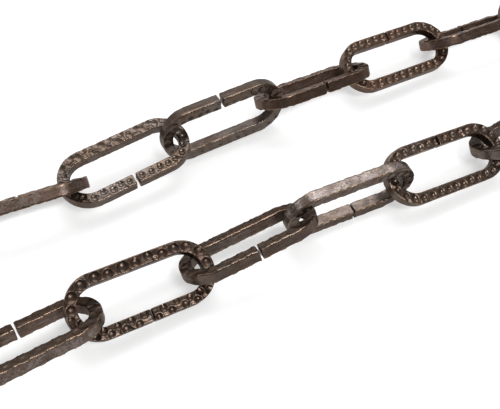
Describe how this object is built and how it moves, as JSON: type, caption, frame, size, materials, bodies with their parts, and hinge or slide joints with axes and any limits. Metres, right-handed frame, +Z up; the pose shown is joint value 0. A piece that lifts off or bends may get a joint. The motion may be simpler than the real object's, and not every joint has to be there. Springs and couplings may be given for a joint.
{
  "type": "decorative chain",
  "caption": "Length of hammered square-bar decorative chain with open oval links, laid doubled back on a floor.",
  "frame": {"origin": "on the floor under the middle of the laid chain's bounding box", "axes": "+X along the two runs, away from the free ends and towards the bend; +Z up"},
  "size_m": [0.4424, 0.0884, 0.0236],
  "materials": {
    "oil_rubbed_bronze": "steel bar, hammered, dark oil-rubbed bronze colour, low sheen"
  },
  "bodies": {
    "root": {"link_01": "oil_rubbed_bronze", "link_02": "oil_rubbed_bronze", "link_03": "oil_rubbed_bronze", "link_04": "oil_rubbed_bronze", "link_05": "oil_rubbed_bronze", "link_06": "oil_rubbed_bronze", "link_07": "oil_rubbed_bronze", "link_08": "oil_rubbed_bronze", "link_09": "oil_rubbed_bronze", "link_10": "oil_rubbed_bronze", "link_11": "oil_rubbed_bronze", "link_12": "oil_rubbed_bronze", "link_13": "oil_rubbed_bronze", "link_14": "oil_rubbed_bronze", "link_15": "oil_rubbed_bronze", "link_16": "oil_rubbed_bronze", "link_17": "oil_rubbed_bronze", "link_18": "oil_rubbed_bronze", "link_19": "oil_rubbed_bronze", "link_20": "oil_rubbed_bronze", "link_21": "oil_rubbed_bronze"}
  },
  "joints": []
}
